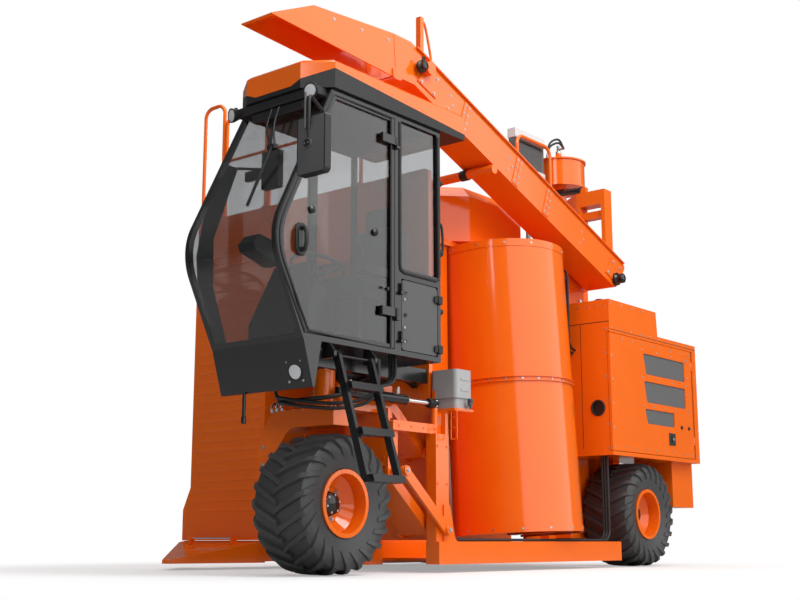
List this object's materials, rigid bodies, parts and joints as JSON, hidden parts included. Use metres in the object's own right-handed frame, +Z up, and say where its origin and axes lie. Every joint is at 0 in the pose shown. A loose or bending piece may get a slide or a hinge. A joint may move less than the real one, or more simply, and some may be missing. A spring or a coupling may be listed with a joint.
{
  "type": "coffee harvester",
  "caption": "Tall orange self-propelled coffee harvester that straddles the row, with a glazed cab over its front wheel, upright picking rotors, slewing unloading conveyor and rear engine bay.",
  "frame": {"origin": "on the ground, under the middle of the machine's bounding box", "axes": "+X to the machine's left, -Y forwards, +Z up"},
  "size_m": [3.425, 5.899, 4.24],
  "materials": {
    "orange_paint": "glossy orange enamel",
    "grey_paint": "satin dark grey enamel",
    "light_grey_paint": "satin grey enamel",
    "tyre_rubber": "matt black rubber",
    "black_plastic": "grained black plastic",
    "white_plastic": "translucent white plastic",
    "tinted_glass": "grey tinted safety glass",
    "chrome_rod": "polished hard chrome",
    "raw_metal": "brushed aluminium fins",
    "black_rubber": "black rubber",
    "seat_fabric": "dark woven cloth"
  },
  "bodies": {
    "chassis": {"cab_frame": "grey_paint", "cab_glass": "tinted_glass", "cab_roof": "orange_paint", "canister": "white_plastic", "conveyor_rest": "orange_paint", "driver_seat": "seat_fabric", "engine_block": "grey_paint", "engine_box": "orange_paint", "foot_hoses": "black_rubber", "front_wall": "orange_paint", "hydraulic_tank": "orange_paint", "left_catch_plates": "black_plastic", "left_elevator": "orange_paint", "left_leg_frame": "orange_paint", "left_mirror": "black_plastic", "left_rear_support": "orange_paint", "left_rotor_shell": "orange_paint", "left_row_divider": "orange_paint", "lift_hoses": "black_rubber", "oil_cooler": "raw_metal", "portal_roof": "orange_paint", "railing": "orange_paint", "right_catch_plates": "black_plastic", "right_elevator": "orange_paint", "right_leg_frame": "orange_paint", "right_rear_support": "orange_paint", "right_rotor_shell": "orange_paint", "right_row_divider": "orange_paint", "roof_rim": "grey_paint", "seat_pedestal": "grey_paint", "slew_column": "orange_paint", "steering_console": "black_plastic", "steering_hoses": "black_rubber", "steering_wheel": "black_plastic", "suspension_arms": "orange_paint", "upper_housing": "orange_paint", "wheel_carrier": "orange_paint", "windshield": "tinted_glass"},
    "front_left_wheel": {"front_left_tyre": "tyre_rubber", "front_left_rim": "orange_paint"},
    "rear_left_wheel": {"rear_left_tyre": "tyre_rubber", "rear_left_rim": "orange_paint"},
    "rear_right_wheel": {"rear_right_tyre": "tyre_rubber", "rear_right_rim": "orange_paint"},
    "steered_fork": {"steering_fork": "orange_paint"},
    "cylinder_barrel": {"steering_cylinder_barrel": "grey_paint"},
    "cylinder_rod": {"steering_cylinder_rod": "chrome_rod"},
    "left_rotor": {"left_picking_rotor": "black_plastic"},
    "right_rotor": {"right_picking_rotor": "black_plastic"},
    "driver_door": {"cab_door": "grey_paint", "door_glass": "tinted_glass"},
    "side_hatch": {"cab_hatch": "light_grey_paint"},
    "engine_door": {"engine_side_door": "orange_paint"},
    "fold_ladder": {"ladder": "grey_paint"},
    "conveyor": {"conveyor_trough": "orange_paint", "conveyor_belt": "black_rubber", "swing_arm": "orange_paint"},
    "conveyor_spout": {"spout": "orange_paint"}
  },
  "joints": [
    {"name": "steering", "type": "hinge", "parent": "chassis", "child": "steered_fork", "pos_m": [0.978, -2.101, 1.1], "axis": [0, 0, 1], "range_deg": [-30, 30]},
    {"name": "front_left_spin", "type": "hinge", "parent": "steered_fork", "child": "front_left_wheel", "pos_m": [0.978, -2.101, 0.465], "axis": [1, 0, 0], "continuous": true},
    {"name": "rear_left_spin", "type": "hinge", "parent": "chassis", "child": "rear_left_wheel", "pos_m": [0.978, 2.019, 0.465], "axis": [1, 0, 0], "continuous": true},
    {"name": "rear_right_spin", "type": "hinge", "parent": "chassis", "child": "rear_right_wheel", "pos_m": [-1.272, 2.019, 0.465], "axis": [1, 0, 0], "continuous": true},
    {"name": "barrel_swing", "type": "hinge", "parent": "steered_fork", "child": "cylinder_barrel", "pos_m": [1.118, -2.101, 1.215], "axis": [0, 0, 1], "range_deg": [-32, 32]},
    {"name": "rod_slide", "type": "slide", "parent": "cylinder_barrel", "child": "cylinder_rod", "axis": [0, 1, 0], "range_m": [-0.08, 0.08]},
    {"name": "left_rotor_spin", "type": "hinge", "parent": "chassis", "child": "left_rotor", "pos_m": [0.598, 0.539, 2.7], "axis": [-0.0558, 0, 0.9984], "continuous": true},
    {"name": "right_rotor_spin", "type": "hinge", "parent": "chassis", "child": "right_rotor", "pos_m": [-0.892, 0.539, 2.7], "axis": [0.0558, 0, 0.9984], "continuous": true},
    {"name": "driver_door_swing", "type": "hinge", "parent": "chassis", "child": "driver_door", "pos_m": [1.344, -1.771, 2], "axis": [0, 0, 1], "range_deg": [0, 85]},
    {"name": "side_hatch_swing", "type": "hinge", "parent": "chassis", "child": "side_hatch", "pos_m": [1.344, -1.703, 1.8], "axis": [0, 0, -1], "range_deg": [0, 85]},
    {"name": "engine_door_swing", "type": "hinge", "parent": "chassis", "child": "engine_door", "pos_m": [1.2655, 2.834, 1.5], "axis": [0, 0, 1], "range_deg": [0, 100]},
    {"name": "ladder_fold", "type": "hinge", "parent": "chassis", "child": "fold_ladder", "pos_m": [1.353, -2.397, 1.4], "axis": [0, -1, 0], "range_deg": [0, 60]},
    {"name": "conveyor_slew", "type": "hinge", "parent": "chassis", "child": "conveyor", "pos_m": [0.353, 1.979, 3.4], "axis": [0, 0, 1], "range_deg": [0, 90]},
    {"name": "spout_tilt", "type": "hinge", "parent": "conveyor", "child": "conveyor_spout", "pos_m": [0.928, -1.481, 3.657], "axis": [1, 0, 0], "range_deg": [0, 12]}
  ],
  "couplings": [
    {"joint": "barrel_swing", "follows": "steering", "ratio": -1},
    {"joint": "rod_slide", "follows": "steering", "m_per_rad": -0.14}
  ]
}
